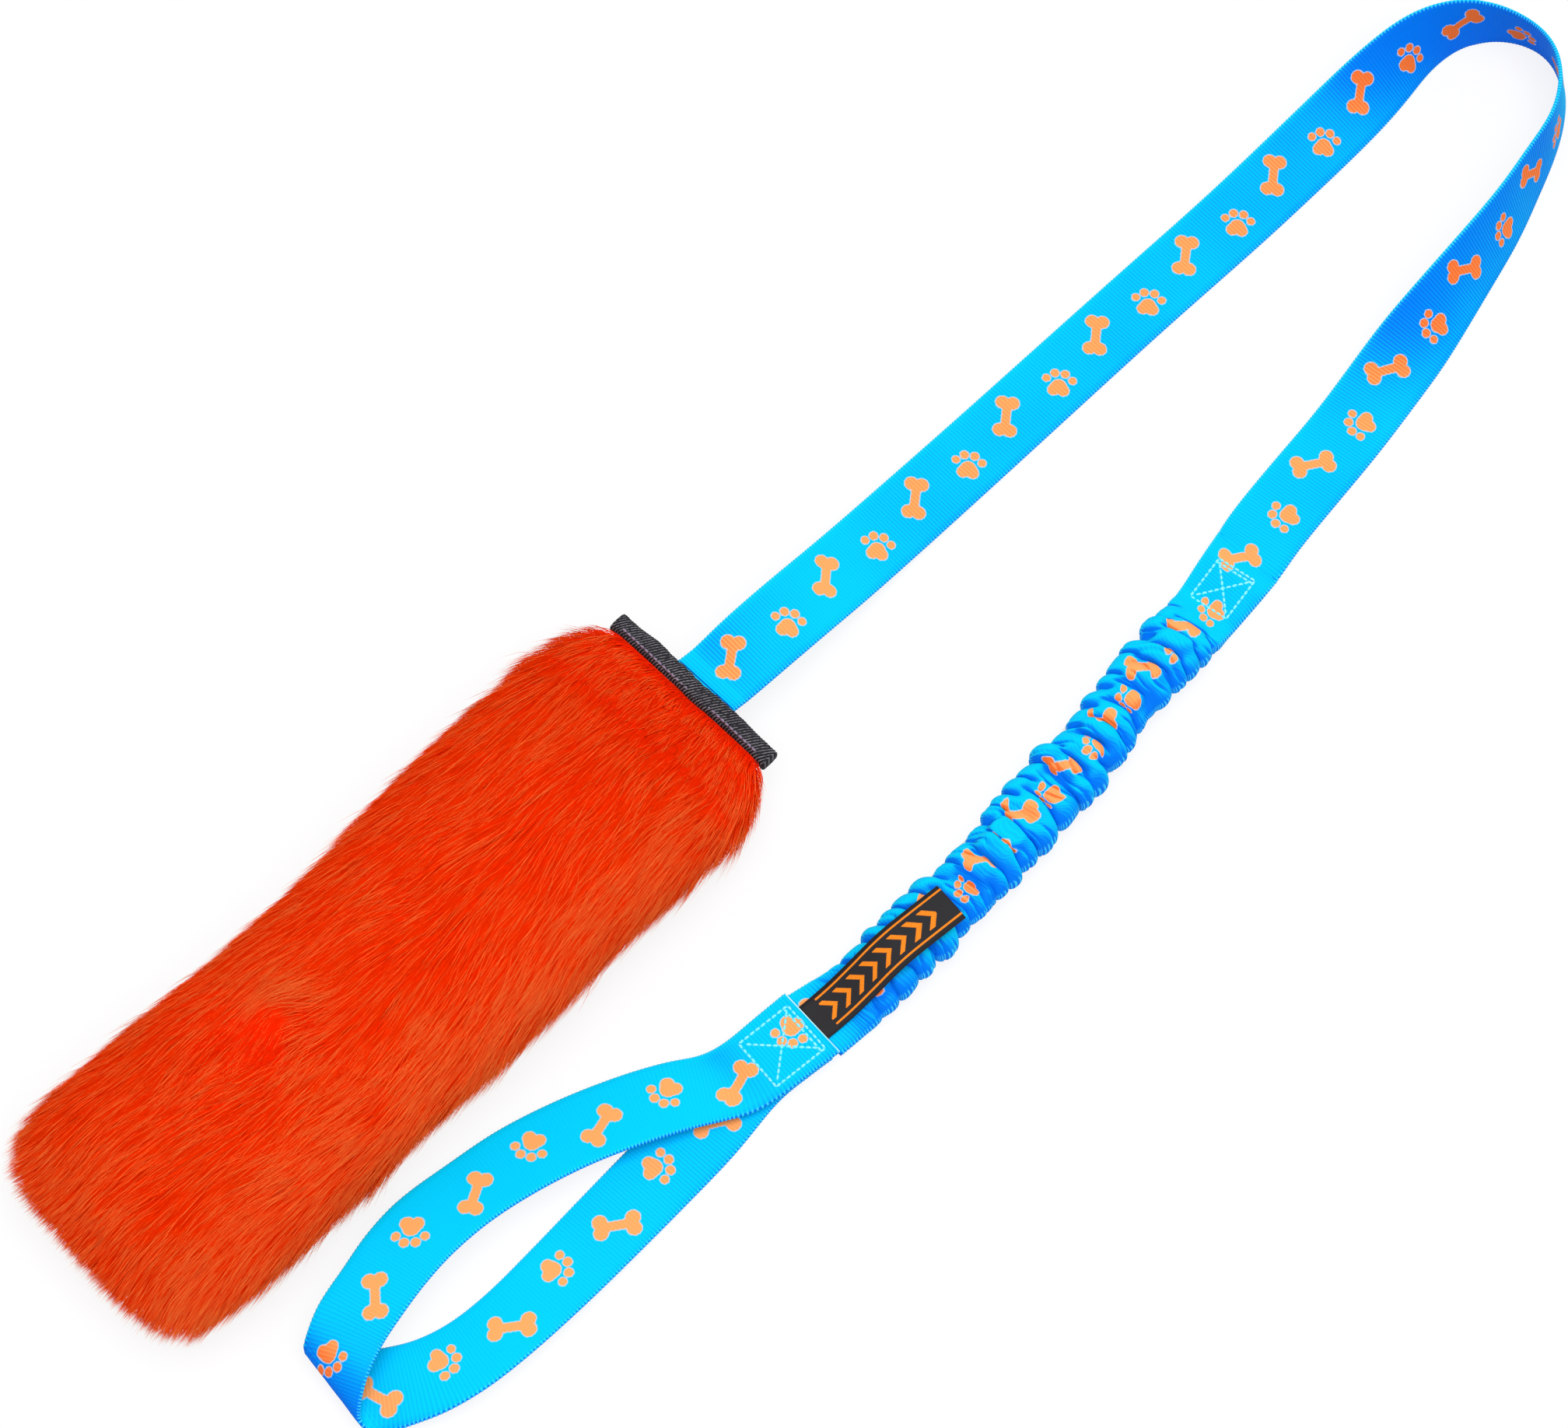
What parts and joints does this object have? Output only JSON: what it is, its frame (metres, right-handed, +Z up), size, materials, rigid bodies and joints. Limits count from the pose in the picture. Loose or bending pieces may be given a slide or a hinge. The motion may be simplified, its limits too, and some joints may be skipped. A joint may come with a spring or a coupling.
{
  "type": "dog tug toy",
  "caption": "Faux-fur bolster on a printed webbing lead with a gathered bungee section, a sewn hand loop and a small woven label, for a game of tug.",
  "frame": {"origin": "on the table under the middle of the toy's box, measured without the free lead", "axes": "+X along the bolster towards its mouth and the lead's bend, +Y from the hand loop towards the bolster, +Z up"},
  "size_m": [0.6294, 0.1547, 0.0415],
  "materials": {
    "fur_orange": "long faux-fur pile, matt",
    "filling_white": "loose polyester fibre",
    "tape_charcoal": "ribbed grosgrain, matt",
    "thread_violet": "twisted thread",
    "webbing_blue": "finely ribbed nylon webbing with a two-colour print, satin",
    "thread_turquoise": "twisted thread, satin",
    "elastic_white": "woven elastic, matt",
    "label_black": "woven satin label"
  },
  "bodies": {
    "lead": {"lead_strap": "webbing_blue", "bungee_sleeve": "webbing_blue", "elastic_band": "elastic_white", "sleeve_thread_top": "thread_turquoise"},
    "toy": {"fur_cover": "fur_orange", "fibre_filling": "filling_white", "binding_tape": "tape_charcoal", "tape_thread_top": "thread_violet", "tape_thread_under": "thread_violet", "strap_anchor": "webbing_blue"},
    "grip": {"grip_base": "webbing_blue", "strap_end": "webbing_blue", "grip_thread_top": "thread_turquoise"},
    "handle": {"handle_strap": "webbing_blue"},
    "label": {"label_tab": "label_black"}
  },
  "joints": [
    {"name": "toy_swing", "type": "hinge", "parent": "lead", "child": "toy", "pos_m": [0.051, 0.0389, 0.014], "axis": [0, 1, 0], "range_deg": [0, 90]},
    {"name": "bungee_stretch", "type": "slide", "parent": "lead", "child": "grip", "axis": [-1, 0, 0], "range_m": [0, 0.11], "stiffness_N_per_m": 600, "deforming": ["bungee_sleeve", "elastic_band"]},
    {"name": "handle_fold", "type": "hinge", "parent": "grip", "child": "handle", "pos_m": [-0.0278, -0.0619, 0.0053], "axis": [0, 1, 0], "range_deg": [0, 90]},
    {"name": "label_flap", "type": "hinge", "parent": "grip", "child": "label", "pos_m": [-0.0024, -0.0619, 0.00415], "axis": [0, -1, 0], "range_deg": [0, 90]}
  ]
}
